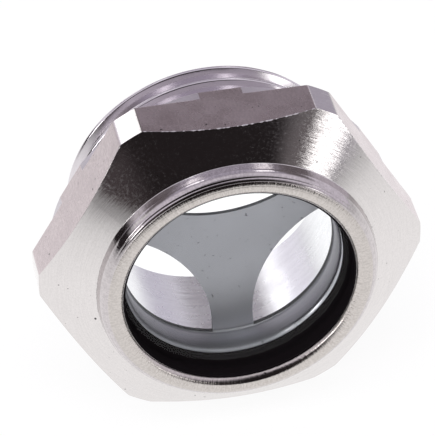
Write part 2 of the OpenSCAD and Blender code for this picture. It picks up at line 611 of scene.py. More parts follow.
@dataclass(frozen=True)
class ReflectorSheet:
    """Aluminium sheet, etched and anodised: an even satin grey, rubbed at the bend, with painted shade on
    the wall.

    Args:
        name: Material name.
        colour: Reflected colour of the flat sheet, sRGB hex.
        roughness: Mean roughness.
        spread: How much the roughness changes in a cloud.
        cloud_mm: Size of the clouds.
        speck_mm: Size of the noise whose peaks are dark specks, drawn coarser than real ones to show.
        speck_noise: Noise at which a speck starts and is full.
        speck_share: Share of light that a speck reflects.
        wall_shade_share: Share of light kept where the painted shade on the wall is full.
        wall_in: Radii between which the floor passes into the painted shade of the wall.
        wall_out: Radii between which the flange passes into it.
        wall_y: Places along Y at the floor, just above the lower bend and in the upper bend.
        wall_shade: Strength of the painted shade on the wall at those places.
        bend_r: Radii between which the wall passes into the upper bend.
        rub_x: How far right the roughness of that bend starts and ends to fall.
        rub: Roughness of the bend at those two places, as a share of the sheet's.
    """

    name: str = "aluminium_sheet_anodised"
    colour: str = "#B3B3B9"
    roughness: float = 0.50
    spread: float = 0.05
    cloud_mm: float = 4.0
    speck_mm: float = 0.5
    speck_noise: Span = (0.71, 0.77)
    speck_share: float = 0.45
    wall_shade_share: float = 0.5
    wall_in: Span = (11.9, 12.2)
    wall_out: Span = (12.7, 12.5)
    wall_y: tuple[float, float, float] = (-2.3, -2.8, -5.0)
    wall_shade: tuple[float, float, float] = (0.95, 0.30, 1.15)
    bend_r: Span = (12.44, 12.55)
    rub_x: Span = (4.5, 8.0)
    rub: Span = (1.35, 0.36)

    def build(self) -> bpy.types.Material:
        """Makes the material: a cloud of roughness, the rubbed bend, the duller wall and a few dark specks.

        Returns:
            The material.
        """
        material, tree = new_material(self.name)
        place = AxisPlace.added_to(tree)
        # base is the sheet's colour with the painted shade on the wall.
        at, base = place.at, self._shaded_wall_colour(tree, place)
        specks = node(tree, "TexNoise", {"Vector": at, "Scale": 1 / (self.speck_mm * MM), "Detail": 1.0})
        speck = node(tree, "MapRange", {0: specks, 1: self.speck_noise[0], 2: self.speck_noise[1]})
        stain = linear(self.colour, self.speck_share)
        shade = node(tree, "Mix", {0: speck, 6: base, 7: stain}, data_type="RGBA").outputs[2]
        cloud = node(tree, "TexNoise", {"Vector": at, "Scale": 1 / (self.cloud_mm * MM), "Detail": 2.0})
        low, top = self.roughness - self.spread, self.roughness + self.spread
        even = node(tree, "MapRange", {0: cloud, 3: low, 4: top})
        start, end = (v * MM for v in self.rub_x)
        left, right = self.rub
        rubbed = node(tree, "MapRange", {0: place.axes["X"], 1: start, 2: end, 3: left, 4: right})
        start, end = (v * MM for v in self.bend_r)
        bend = node(tree, "MapRange", {0: place.radius, 1: start, 2: end, 3: 1.0, 4: rubbed})
        rough = node(tree, "Math", {0: even, 1: bend}, operation="MULTIPLY")
        shader = node(tree, "BsdfPrincipled", {"Base Color": shade, "Metallic": 1.0, "Roughness": rough})
        node(tree, "OutputMaterial", {"Surface": shader})
        return material

    def _shaded_wall_colour(self, tree: bpy.types.NodeTree, place: AxisPlace) -> bpy.types.NodeSocket:
        """Reflected colour without specks: that of the flat sheet, with painted shade on the wall, heaviest
        in the crease at the floor and in the upper bend.

        Args:
            tree: Node tree of the material.
            place: Place about the thread axis.

        Returns:
            The colour.
        """
        start, end = (v * MM for v in self.wall_in)
        inside = node(tree, "MapRange", {0: place.radius, 1: start, 2: end})
        start, end = (v * MM for v in self.wall_out)
        outside = node(tree, "MapRange", {0: place.radius, 1: start, 2: end})
        wall = node(tree, "Math", {0: inside, 1: outside}, operation="MULTIPLY")
        # Painted shade on the wall: heaviest in the crease at the floor, lightest just above it, heavy again
        # in the upper bend.
        floor, low, high = (v * MM for v in self.wall_y)
        at_floor, at_low, at_high = self.wall_shade
        y = place.axes["Y"]
        bent = node(tree, "MapRange", {0: y, 1: floor, 2: low, 3: at_floor, 4: at_low})
        rise = node(tree, "MapRange", {0: y, 1: low, 2: high, 3: 0.0, 4: at_high - at_low})
        up = node(tree, "Math", {0: bent, 1: rise}, operation="ADD")
        dulled = node(tree, "Math", {0: wall, 1: up}, operation="MULTIPLY")
        clean, dull = linear(self.colour), linear(self.colour, self.wall_shade_share)
        return node(tree, "Mix", {0: dulled, 6: clean, 7: dull}, data_type="RGBA").outputs[2]


SHEET_SKIN = ReflectorSheet()
SHEET_CUT = ReflectorSheet("aluminium_sheet_punched_edge", "#5A5B5E", 0.55, speck_mm=0.25)


# Sub-assemblies


def box_mm(name: str) -> tuple[Array, Array]:
    """Box of a CAD node.

    Args:
        name: Name of the node.

    Returns:
        Its lowest and its highest corner, in millimetres.
    """
    low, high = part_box(name)
    return np.array(low) / MM, np.array(high) / MM


def settle(piece: bpy.types.Object, node_name: str) -> bpy.types.Object:
    """Lets a piece ride on the body and stand for a CAD node, whose imported solid it hides.

    Args:
        piece: The finished piece.
        node_name: Node that it stands for.

    Returns:
        The same piece.
    """
    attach(piece, BODY)
    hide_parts(node_name)
    return piece


@dataclass
class PipeThread:
    """One-inch parallel pipe thread of 55 degrees, with rounded crests and roots.

    Args:
        major_r: Radius over the crests.
        pitch: Distance from crest to crest.
        crest_a: Height of a crest at the top of the spigot.
        runout: Length behind the seat in which the cut fades to the root.
        root_share: Share of that length, next to the seat, that lies at the root.
        round_share: Radius of the rounds in crests and roots, as a share of the pitch.
        round_rows: Places of the rows on half a round, as shares of the way.
        flank_deg: Angle of a flank from the plane across the axis.
    """

    major_r: float = 33.249 / 2
    pitch: float = 2.309
    crest_a: float = -8.8
    runout: float = 1.3
    root_share: float = 0.35
    round_share: float = 0.137
    round_rows: tuple[float, ...] = (0.0, 0.35, 0.7, 1.0)
    flank_deg: float = 27.5

    @property
    def flank(self) -> float:
        """Angle of a flank in radians."""
        return math.radians(self.flank_deg)

    @property
    def depth(self) -> float:
        """Depth of the thread: the sharp form's, less what the two rounds take off it."""
        sharp = self.pitch / 2 / math.tan(self.flank)
        return sharp - 2 * self.round_share * self.pitch * (1 / math.sin(self.flank) - 1)

    def drop(self, phase: Array) -> Array:
        """Depth below the crest.

        With s the distance from the nearest crest along the axis: a round of radius c on the crest, a
        straight flank through half depth at a quarter pitch, and the same round in the root.

        Args:
            phase: Phase in turns from a crest.

        Returns:
            The depth at each phase.
        """
        c = self.round_share * self.pitch
        end = c * math.cos(self.flank)
        s = np.abs(np.mod(phase + 0.5, 1.0) - 0.5) * self.pitch
        flank = self.depth / 2 + (s - self.pitch / 4) / math.tan(self.flank)
        to_root = self.pitch / 2 - s
        crest = c - np.sqrt(np.maximum(c * c - np.minimum(s, end) ** 2, 0))
        root = self.depth - c + np.sqrt(np.maximum(c * c - np.minimum(to_root, end) ** 2, 0))
        return np.where(s < end, crest, np.where(to_root < end, root, flank))

    def rows(self, theta: Array, length: float, chamfer: float) -> tuple[Array, Array]:
        """Rows of points that follow the helix from the seat to the spigot's end.

        A row keeps its phase, so it climbs one pitch in a turn, and its height is held between the seat and
        the end. The radius is the crest's less the drop there, fades to the root behind the seat, and never
        stands out of the end chamfer.

        Args:
            theta: Angles of the columns.
            length: Length of the spigot.
            chamfer: Width of the end chamfer.

        Returns:
            Radii and heights, rows by columns.
        """
        half = np.array(self.round_rows) * self.round_share * math.cos(self.flank)
        one = np.concatenate([half, [0.25], 0.5 - half[::-1], 0.5 + half[1:], [0.75], 1 - half[:0:-1]])
        turns = math.ceil(length / self.pitch) + 3
        phase = (np.arange(turns)[:, None] + one[None, :]).ravel()[:, None]
        shift = theta[None, :] / math.tau - 0.25
        top = self.crest_a + self.pitch * (turns - 2)
        a = np.clip(top - self.pitch * (phase - shift), -length, 0.0)
        real_phase = (a - self.crest_a) / self.pitch - shift
        at_root, fading = self.runout * self.root_share, self.runout * (1 - self.root_share)
        fade = np.clip((-a - at_root) / fading, 0, 1)
        fade = fade * fade * (3 - 2 * fade)
        cut = self.depth + (self.drop(real_phase) - self.depth) * fade
        limit = self.major_r - np.maximum(0, chamfer - (a + length))
        return np.minimum(self.major_r - cut, limit), a


@dataclass(frozen=True)
class BeadStretch:
    """Stretch of the outer round of the rolled lip.

    Args:
        start: Angle at which it starts, in degrees from the outward direction towards the window.
        end: Angle at which it ends.
        steps: Number of straight steps.
        finish: Finish of the stretch.
        depth: How deep it lies under the round, for a groove.
    """

    start: float
    end: float
    steps: int
    finish: Finish
    depth: float = 0.0


@dataclass
class HexBody:
    """Body turned from hexagon bar: spigot, seat collar, hexagon, sloping face, glass pocket and rolled lip.

    Args:
        low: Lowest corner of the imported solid.
        high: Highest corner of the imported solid.
        seal_low: Lowest corner of the seal, which fills the pocket.
        seal_high: Highest corner of the seal.
        hex_t: Thickness of the hexagon in the middle of a flat.
        collar_h: Height of the seat collar.
        collar_proud: How far the collar stands out of the flats.
        face_deg: Slope of the front face.
        window_r: Radius inside the lip.
        bore_r: Radius of the bore.
        sheet_t: Thickness of the reflector's flange, which lies on the pocket's shoulder.
        bead_out_r: Radius of the lip from its crest outwards.
        bead_in_r: Radius of the lip from its crest inwards.
        bead_in_steps: Number of straight steps from the crest inwards.
        bead: Stretches of the lip's outer round from the crest to the wall.
        edge_r: Radius of the front edge where it is sharp.
        wear_r: Radius that full wear adds to it.
        wear_waves: Waves of the wear: count in a turn, height and start.
        wear_lift: How far the waves are lifted before they are cut to their crests.
        wear_top: Height of the crests that stands for full wear.
        wear_deg: Angle at which the front edge is worn most.
        wear_reach: How far past a right angle from there it is still worn, as a cosine.
        corner_clear: How far from a turned corner the wear ends, on the radius.
        crown: How far polishing left the sloping face crowned.
        crown_shares: Places on the sloping face with a row of points, as shares of the way.
        edge_rows: Distances from the side of the two rows that keep the edge's shading narrow.
        back_edge_r: Radius of the hexagon's back edge.
        seat_edge_r: Radius of the collar's edge.
        bore_edge_r: Radius of the edges at the bore's mouth.
        bore_row: Distance from the shoulder of the bore's last row.
        end_chamfer: Chamfer at the spigot's end.
        bore_chamfer: Edge break at the bore's mouth.
        corner_blend: Softness of the edge between a flat and a turned corner.
        thread: Thread on the spigot.
        angle_step: Step of the columns in degrees.
        fine_deg: First and last angle and step of the closer columns, where the wear shows.
    """

    low: Array
    high: Array
    seal_low: Array
    seal_high: Array
    hex_t: float = 5.75
    collar_h: float = 1.2
    collar_proud: float = 0.15
    face_deg: float = 30.0
    window_r: float = 26.9 / 2
    bore_r: float = 27.6 / 2
    sheet_t: float = 0.5
    bead_out_r: float = 1.7
    bead_in_r: float = 1.1
    bead_in_steps: int = 16
    bead: tuple[BeadStretch, ...] = (
        BeadStretch(90.0, 79.0, 3, Finish.LIP),
        BeadStretch(77.6, 77.2, 1, Finish.LIP, 0.012),
        BeadStretch(75.8, 61.5, 4, Finish.LIP),
        BeadStretch(59.8, 59.4, 1, Finish.BEAD, 0.021),
        BeadStretch(57.7, 48.5, 3, Finish.BEAD),
        BeadStretch(45.6, 43.6, 2, Finish.BEAD, 0.03),
        BeadStretch(40.5, 6.0, 12, Finish.BEAD),
    )
    edge_r: float = 0.02
    wear_r: float = 0.26
    wear_waves: tuple[tuple[int, float, float], ...] = ((47, 1.0, 0.4), (131, 0.9, 0.0), (233, 0.9, 2.0))
    wear_lift: float = 0.3
    wear_top: float = 1.6
    wear_deg: float = 60.0
    wear_reach: float = 0.3
    corner_clear: float = 0.05
    crown: float = 0.035
    crown_shares: tuple[float, ...] = (0.02, 0.2, 0.4, 0.6, 0.8)
    edge_rows: Span = (0.35, 0.30)
    back_edge_r: float = 0.08
    seat_edge_r: float = 0.05
    bore_edge_r: float = 0.06
    bore_row: float = 0.2
    end_chamfer: float = 1.0
    bore_chamfer: float = 0.3
    corner_blend: float = 0.04
    thread: PipeThread = field(default_factory=PipeThread)
    angle_step: float = 1.4
    fine_deg: tuple[float, float, float] = (20.0, 125.0, 0.5)

    @classmethod
    def from_frame(cls) -> "HexBody":
        """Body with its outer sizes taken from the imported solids."""
        return cls(*box_mm("body"), *box_mm("seal"))

    @property
    def flat_r(self) -> float:
        """Half the width across the flats."""
        return float(self.high[2])

    @property
    def corner_r(self) -> float:
        """Radius of the turned corners."""
        return float(min(self.high[0], -self.low[0]))

    @property
    def pocket_r(self) -> float:
        """Radius of the glass pocket."""
        return float(self.seal_high[0])

    @property
    def length(self) -> float:
        """Length of the spigot behind the seat."""
        return float(self.high[1])

    @property
    def shoulder_a(self) -> float:
        """Height of the pocket's shoulder."""
        return -float(self.seal_high[1]) - self.sheet_t

    @property
    def lip_under_a(self) -> float:
        """Height of the lip's underside, which lies on the seal."""
        return -float(self.seal_low[1])

    @property
    def lip_top_a(self) -> float:
        """Height of the lip's crest."""
        return -float(self.low[1])

    @property
    def bead_turn(self) -> float:
        """Turn of the lip's inner round from its crest to the window, in degrees."""
        return math.degrees(math.acos(1 - (self.lip_top_a - self.lip_under_a) / self.bead_in_r))

    @property
    def crest_r(self) -> float:
        """Radius of the lip's crest."""
        return self.window_r + self.bead_in_r * math.sin(math.radians(self.bead_turn))

    @property
    def wall_deg(self) -> float:
        """Draft of the lip's outer wall, the angle at which the outer round ends."""
        return self.bead[-1].end

    @property
    def foot_r(self) -> float:
        """Radius at which the lip's outer wall, drawn on along its draft, meets the sloping face."""
        draft = math.radians(self.wall_deg)
        wall_r = self.crest_r + self.bead_out_r * math.cos(draft)
        wall_a = self.lip_top_a - self.bead_out_r * (1 - math.sin(draft))
        return wall_r + (wall_a - self.face_a(wall_r)) * math.tan(draft)

    def angles(self) -> Array:
        """Angles of the columns: even steps, closer where a flat meets a turned corner or the collar.

        Returns:
            Sorted angles in radians, from 0 to a full turn.
        """
        turn = math.degrees(math.acos(self.flat_r / self.corner_r))
        patch = math.degrees(math.acos(self.flat_r / (self.flat_r + self.collar_proud)))
        near = (-0.9, -0.55, -0.3, -0.15, 0, 0.15, 0.3, 0.55, 0.9)
        flats = np.arange(30, 390, 60)
        extra = [flats + s * turn + d for s in (-1, 1) for d in near]
        extra += [flats + s * patch + d for s in (-1, 1) for d in (-0.2, 0, 0.2)]
        extra += [np.arange(*self.fine_deg)]
        return even_angles(self.angle_step, np.concatenate(extra))

    def bar_radius(self, theta: Array) -> Array:
        """Radius of the hexagon bar: the flats' distance over the cosine of the angle to the nearest flat.

        Args:
            theta: Angles in radians.

        Returns:
            The radius at each angle.
        """
        return self.flat_r / np.cos(np.radians(np.mod(np.degrees(theta), 60.0) - 30.0))

    def side_radius(self, theta: Array) -> Array:
        """Radius of the side: the bar's, held to the radius of the turned corners.

        The two are joined by a smooth minimum, -k log(exp(-p/k) + exp(-q/k)), so the edge between is round.

        Args:
            theta: Angles in radians.

        Returns:
            The radius at each angle.
        """
        flat = self.bar_radius(theta)
        corner = np.full_like(flat, self.corner_r)
        least = np.minimum(flat, corner)
        k = self.corner_blend
        return least - k * np.log(np.exp((least - flat) / k) + np.exp((least - corner) / k))

    def worn(self, theta: Array) -> Array:
        """How worn the front edge of the flats is: the crests of a sum of sine waves of unlike counts.

        The turned corners keep their clean edge, and so does the left half, where the edge is still sharp.

        Args:
            theta: Angles in radians.

        Returns:
            The wear at each angle, 0 to 1.
        """
        waves = sum(height * np.sin(count * theta + start) for count, height, start in self.wear_waves)
        on_flat = self.bar_radius(theta) < self.corner_r - self.corner_clear
        toward = np.cos(theta - math.radians(self.wear_deg))
        on_right = np.clip(self.wear_reach + toward, 0, 1) ** 2
        return np.clip(waves + self.wear_lift, 0, self.wear_top) / self.wear_top * on_flat * on_right

    def face_a(self, r: Array | float) -> Array | float:
        """Height of the sloping face at a radius."""
        return self.collar_h + self.hex_t + (self.flat_r - r) * math.tan(math.radians(self.face_deg))

    def crowned(self, end: Array) -> list[Corner]:
        """Corners on the sloping face from the lip's foot outwards.

        The face bulges by 4 c u (1 - u), with u the share of the way and c the crown.

        Args:
            end: Radius near the front edge, one for each angle.

        Returns:
            The corners, first to last.
        """
        corners = []
        for u in self.crown_shares:
            r = self.foot_r + u * (end - self.foot_r)
            corners.append(Corner(r, self.face_a(r) + 4 * self.crown * u * (1 - u)))
        return corners

    def front(self, theta: Array, thread_r: Array) -> list[Corner]:
        """Section from the pocket's shoulder over the lip, the face, a side and the collar to the thread.

        Args:
            theta: Angles of the columns.
            thread_r: Radius of the thread's first row at each angle.

        Returns:
            The corners, first to last.
        """
        side = self.side_radius(theta)
        collar = np.minimum(self.flat_r + self.collar_proud, side)
        edge_r = self.edge_r + self.wear_r * self.worn(theta)
        inner_a, outer_a = self.lip_top_a - self.bead_in_r, self.lip_top_a - self.bead_out_r
        corners = [
            Corner(self.bore_r, self.shoulder_a, finish=Finish.BORE),
            Corner(self.pocket_r, self.shoulder_a, finish=Finish.BORE),
            Corner(self.pocket_r, self.lip_under_a, finish=Finish.LIP),
            *arc(self.crest_r, inner_a, self.bead_in_r, 90 + self.bead_turn, 90, self.bead_in_steps,
                 Finish.LIP),
        ]
        for part in self.bead:
            radius = self.bead_out_r - part.depth
            corners += arc(self.crest_r, outer_a, radius, part.start, part.end, part.steps, part.finish)
        return corners + [
            Corner(self.foot_r, self.face_a(self.foot_r)),
            *self.crowned(side - self.edge_rows[0]),
            *[Corner(side - off, self.face_a(side - off)) for off in self.edge_rows],
            Corner(side, self.face_a(side), edge_r, 4, Finish.FLAT),
            Corner(side, self.collar_h, self.back_edge_r, 4, Finish.SEAT),
            Corner(collar, self.collar_h, self.back_edge_r, 3, Finish.SEAT),
            Corner(collar, 0.0, self.seat_edge_r, 4, Finish.SEAT),
            Corner(thread_r, 0.0, finish=Finish.THREAD),
        ]

    def back(self, thread_r: Array) -> list[Corner]:
        """Section from the thread's end round the bore's mouth and up the bore.

        Args:
            thread_r: Radius of the thread's last row at each angle.

        Returns:
            The corners, first to last.
        """
        mouth = self.bore_chamfer
        return [
            Corner(thread_r, -self.length, finish=Finish.THREAD),
            Corner(self.bore_r + mouth, -self.length, self.bore_edge_r, 3, Finish.BORE),
            Corner(self.bore_r, mouth - self.length, self.bore_edge_r, 3, Finish.BORE),
            Corner(self.bore_r, self.shoulder_a - self.bore_row, finish=Finish.BORE),
        ]

    def finishes(self, theta: Array, radii: Array, heights: Array, rows: Array) -> Array:
        """Finish of each cell: its row's, but a corner is turned and the collar has flat patches.

        Args:
            theta: Angles of the columns.
            radii: Radii, rows by columns.
            heights: Heights, rows by columns.
            rows: Finish that starts at each row but the last.

        Returns:
            Material slots, one for each cell, row after row.
        """
        cells = np.repeat(rows[:, None], len(theta) - 1, axis=1)
        bar_r = self.bar_radius((theta[1:] + theta[:-1]) / 2)
        cells[(cells == Finish.FLAT.value) & (bar_r > self.corner_r)[None, :]] = Finish.FACE.value
        on_patch = bar_r < self.flat_r + self.collar_proud
        on_collar = (heights[:-1].mean(1) <= self.collar_h) & (heights[1:].mean(1) >= 0)
        on_collar &= radii[1:].mean(1) > self.flat_r
        cells[on_collar[:, None] & on_patch[None, :]] = Finish.FLAT.value
        return cells.ravel()

    def build(self) -> bpy.types.Object:
        """Makes the body's skin: the turned section at every angle, closed through the helical thread rows.

        Returns:
            The finished piece.
        """
        theta = self.angles()
        thread_r, thread_a = self.thread.rows(theta, self.length, self.end_chamfer)
        r1, a1, rows1 = rounded_section(self.front(theta, thread_r[0]), len(theta), False)
        r2, a2, rows2 = rounded_section(self.back(thread_r[-1]), len(theta), False)
        radii = np.concatenate([r1, thread_r, r2, r1[:1]])
        heights = np.concatenate([a1, thread_a, a2, a1[:1]])
        rows = np.concatenate([rows1, np.full(len(thread_r), Finish.THREAD.value), rows2])
        slots = self.finishes(theta, radii, heights, rows)
        points = carried_round(radii, heights, theta)
        piece = welded_mesh("body_skin", points, quads_of(len(radii), len(theta)), slots)
        large_faces_rule(piece)
        self.dress(piece)
        return settle(piece, "body")

    def dress(self, piece: bpy.types.Object) -> None:
        """Fills the skin's material slots in the order of the finishes."""
        for finish in Finish:
            piece.data.materials.append(PLATING[finish].build())


@dataclass
class Seal:
    """Rubber ring of channel section that wraps the edge of the glass.

    Args:
        low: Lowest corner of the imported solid.
        high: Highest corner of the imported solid.
        glass_low: Lowest corner of the glass.
        glass_high: Highest corner of the glass.
        front_inner_r: Inner radius of the front flank.
        back_inner_r: Inner radius of the back flank.
        edge_r: Radius of the moulded edges.
        grip: How far the rubber presses into the skin of the glass, so that no air is left between the two.
        angle_step: Step of the columns in degrees.
    """

    low: Array
    high: Array
    glass_low: Array
    glass_high: Array
    front_inner_r: float = 26.9 / 2 - 0.2
    back_inner_r: float = 28.4 / 2 - 1.425
    edge_r: float = 0.12
    grip: float = 0.02
    angle_step: float = 2.0

    @classmethod
    def from_frame(cls) -> "Seal":
        """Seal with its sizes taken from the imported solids."""
        return cls(*box_mm("seal"), *box_mm("glass"))

    def build(self) -> bpy.types.Object:
        """Makes the ring: the channel section carried round the axis.

        Returns:
            The finished piece.
        """
        theta = even_angles(self.angle_step)
        outer_r, glass_r = float(self.high[0]), float(self.glass_high[0]) - self.grip
        back, front = -float(self.high[1]), -float(self.low[1])
        glass_back = self.grip - float(self.glass_high[1])
        glass_front = -self.grip - float(self.glass_low[1])
        corners = [
            Corner(self.back_inner_r, back, self.edge_r, 4),
            Corner(self.back_inner_r, glass_back, self.edge_r, 4),
            Corner(glass_r, glass_back),
            Corner(glass_r, glass_front),
            Corner(self.front_inner_r, glass_front, self.edge_r, 4),
            Corner(self.front_inner_r, front, self.edge_r, 4),
            Corner(outer_r, front),
            Corner(outer_r, back),
        ]
        r, a, _ = rounded_section(corners, len(theta), True)
        piece = welded_mesh("seal_ring", carried_round(r, a, theta), quads_of(len(r), len(theta)))
        large_faces_rule(piece)
        self.dress(piece)
        return settle(piece, "seal")

    def dress(self, piece: bpy.types.Object) -> None:
        """Gives the ring its rubber."""
        piece.data.materials.append(NitrileRubber().build())


@dataclass
class GlassDisc:
    """Flat glass disc with ground bevels.

    Args:
        low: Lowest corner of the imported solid.
        high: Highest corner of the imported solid.
        bevel: Width of the bevels.
        angle_step: Step of the columns in degrees.
        sharp_deg: Turn from which an edge is shaded sharp.
    """

    low: Array
    high: Array
    bevel: float = 0.25
    angle_step: float = 2.0
    sharp_deg: float = 30.0

    @classmethod
    def from_frame(cls) -> "GlassDisc":
        """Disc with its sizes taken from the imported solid."""
        return cls(*box_mm("glass"))

    def build(self) -> bpy.types.Object:
        """Makes the disc: its half section from axis to axis, carried round.

        Returns:
            The finished piece.
        """
        theta = even_angles(self.angle_step)
        outer_r, back, front = float(self.high[0]), -float(self.high[1]), -float(self.low[1])
        corners = [
            Corner(0.0, front),
            Corner(outer_r - self.bevel, front),
            Corner(outer_r, front - self.bevel),
            Corner(outer_r, back + self.bevel),
            Corner(outer_r - self.bevel, back),
            Corner(0.0, back),
        ]
        r, a, _ = rounded_section(corners, len(theta), False)
        piece = welded_mesh("glass_disc", carried_round(r, a, theta), quads_of(len(r), len(theta)))
        piece.data.set_sharp_from_angle(angle=math.radians(self.sharp_deg))
        self.dress(piece)
        return settle(piece, "glass")

    def dress(self, piece: bpy.types.Object) -> None:
        """Gives the disc its glass."""
        piece.data.materials.append(WindowGlass().build())


@dataclass
class ReflectorCup:
    """Cup pressed from sheet: flange, bend, wall, bend and a floor with three lens-shaped windows.

    Args:
        low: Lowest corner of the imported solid.
        high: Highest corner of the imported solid.
        sheet_t: Thickness of the sheet.
        wall_in_r: Radius inside the wall.
        bend_r: Inside radius of the bends.
        hub_r: Distance from the middle of the floor to a window.
        arc_r: Radius of the arc on the inner side of a window.
        rim: Width of floor between the windows and the wall.
        windows: Number of windows.
        turn_deg: Turn of the windows about the axis.
        hub_rows: Number of rows on the flat of the hub.
        rim_rows: Number of rows on its way into the bend.
        angle_step: Step of the columns in degrees.
        sharp_deg: Turn from which an edge is shaded sharp.
    """

    low: Array
    high: Array
    sheet_t: float = 0.5
    wall_in_r: float = 12.45
    bend_r: float = 0.35
    hub_r: float = 5.2
    arc_r: float = 15.8
    rim: float = 0.1
    windows: int = 3
    turn_deg: float = 2.65
    hub_rows: int = 10
    rim_rows: int = 5
    angle_step: float = 1.5
    sharp_deg: float = 35.0

    @classmethod
    def from_frame(cls) -> "ReflectorCup":
        """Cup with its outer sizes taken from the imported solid."""
        return cls(*box_mm("reflector"))

    @property
    def reach(self) -> float:
        """Radius at which the windows end."""
        return self.wall_in_r - self.rim

    @property
    def bend_out_r(self) -> float:
        """Outside radius of the bends."""
        return self.bend_r + self.sheet_t

    @property
    def bend_at(self) -> tuple[float, float]:
        """Radius and height of the middle of the lower bend."""
        return self.wall_in_r - self.bend_r, self.sheet_t - float(self.high[1]) + self.bend_r

    def hub_edge(self) -> tuple[Array, Array, Array]:
        """Edge of the hub at every angle.

        At an angle p from a window's middle the hub ends at d cos p - sqrt(c c - d d sin p sin p), where c
        is the arc's radius and d its centre's distance, and elsewhere at the rim.

        Returns:
            Angles of the columns, the hub's radius at each, and whether a cell between two is in a window.
        """
        far = self.hub_r + self.arc_r
        cosine = (self.reach ** 2 + far ** 2 - self.arc_r ** 2) / (2 * self.reach * far)
        half = math.degrees(math.acos(cosine))
        gap = 360 / self.windows
        middles = 90 + self.turn_deg + np.arange(self.windows) * gap
        theta = even_angles(self.angle_step, np.concatenate([middles - half, middles + half]))
        off = np.mod(np.degrees(theta) - middles[0] + gap / 2, gap) - gap / 2
        p = np.radians(np.clip(off, -half, half))
        edge = far * np.cos(p) - np.sqrt(np.maximum(self.arc_r ** 2 - (far * np.sin(p)) ** 2, 0))
        is_open = np.abs(off) < half - 1e-6
        return theta, np.where(is_open, edge, self.reach), is_open[1:] | is_open[:-1]

    def hub_section(self, edge: Array) -> tuple[Array, Array]:
        """Section of the hub: rows at shares of its edge's radius, and heights that follow the bend.

        Args:
            edge: Radius of the hub's edge at each angle.

        Returns:
            Radii and heights, rows by columns, out along the front and back along the rear.
        """
        bend_r, bend_a = self.bend_at
        start = bend_r / self.reach
        on_flat = np.linspace(0, start, self.hub_rows + 1)
        on_bend = np.linspace(start, 1, self.rim_rows + 1)[1:]
        r = np.append(on_flat, on_bend)[:, None] * edge
        past = np.maximum(r - bend_r, 0)
        front = bend_a - np.sqrt(self.bend_r ** 2 - past ** 2)
        rear = bend_a - np.sqrt(self.bend_out_r ** 2 - past ** 2)
        return np.concatenate([r, r[::-1]]), np.concatenate([front, rear[::-1]])

    def cup_section(self) -> list[Corner]:
        """Section of the rest of the cup: up the wall, round the flange and down again.

        Returns:
            The corners, first to last, from the windows' edge and back to it.
        """
        flange_r, flange_a = float(self.high[0]), -float(self.low[1])
        bend_r, bend_a = self.bend_at
        inner = math.degrees(math.asin((self.reach - bend_r) / self.bend_r)) - 90
        outer = math.degrees(math.asin((self.reach - bend_r) / self.bend_out_r)) - 90
        return [
            *arc(bend_r, bend_a, self.bend_r, inner, 0, 6),
            Corner(self.wall_in_r, flange_a, self.bend_out_r, 10),
            Corner(flange_r, flange_a),
            Corner(flange_r, flange_a - self.sheet_t),
            Corner(self.wall_in_r + self.sheet_t, flange_a - self.sheet_t, self.bend_r, 8),
            *arc(bend_r, bend_a, self.bend_out_r, 0, outer, 10),
        ]

    def build(self) -> bpy.types.Object:
        """Makes the sheet, front and rear: the hub and the cup, with punched edges only in the windows.

        Returns:
            The finished piece.
        """
        theta, edge, in_window = self.hub_edge()
        r_hub, a_hub = self.hub_section(edge)
        r_cup, a_cup, _ = rounded_section(self.cup_section(), len(theta), True)
        points, quads, slots = [], [], []
        for r, a, punched in ((r_hub, a_hub, len(r_hub) // 2 - 1), (r_cup, a_cup, len(r_cup) - 2)):
            keep = np.ones((len(r) - 1, len(theta) - 1), bool)
            keep[punched] = in_window
            slot = np.zeros(keep.shape, int)
            slot[punched] = 1
            quads.append(quads_of(len(r), len(theta), keep, sum(len(p) for p in points)))
            points.append(carried_round(r, a, theta))
            slots.append(slot[keep])
        piece = welded_mesh("reflector_cup", *(np.concatenate(v) for v in (points, quads, slots)))
        piece.data.set_sharp_from_angle(angle=math.radians(self.sharp_deg))
        self.dress(piece)
        return settle(piece, "reflector")

    def dress(self, piece: bpy.types.Object) -> None:
        """Gives the sheet its skin and its punched edges."""
        for sheet in (SHEET_SKIN, SHEET_CUT):
            piece.data.materials.append(sheet.build())


# Studio


def seen_by_eye(tree: bpy.types.NodeTree) -> tuple[bpy.types.bpy_prop_collection, bpy.types.Node]:
    """Path of a ray, and whether it comes from the eye, straight or through glass.

    Args:
        tree: Node tree of a material or of the room.

    Returns:
        The path's outputs, and the node whose first output is 1 for a ray from the eye.
    """
    path = node(tree, "LightPath").outputs
    straight, through = path["Is Camera Ray"], path["Is Transmission Ray"]
    return path, node(tree, "Math", {0: straight, 1: through}, operation="MAXIMUM")


